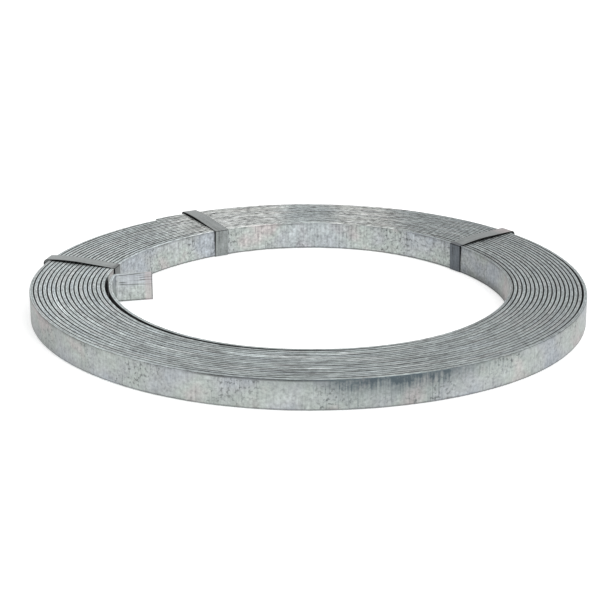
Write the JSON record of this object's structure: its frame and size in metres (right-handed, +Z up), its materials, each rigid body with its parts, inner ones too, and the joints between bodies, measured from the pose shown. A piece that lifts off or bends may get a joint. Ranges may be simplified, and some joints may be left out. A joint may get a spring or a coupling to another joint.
{
  "type": "coil of grounding strip",
  "caption": "Flat ring-shaped coil of galvanised steel grounding strip, its turns held by thin steel straps, with the strip's inner end bent into the open eye.",
  "frame": {"origin": "on the winding's axis, on the floor that the coil lies on", "axes": "+Z up along the winding's axis, -Y towards the side without straps, +X to the right of the bent inner end"},
  "size_m": [0.5765, 0.5787, 0.0335],
  "materials": {
    "galvanised_strip": "dull hot-dip zinc with faint spangle and streaks",
    "strap_steel": "plain grey packing strap"
  },
  "bodies": {
    "root": {"strip_coil": "galvanised_strip", "strap_left": "strap_steel", "strap_back_left": "strap_steel", "strap_back_right": "strap_steel"}
  },
  "joints": []
}
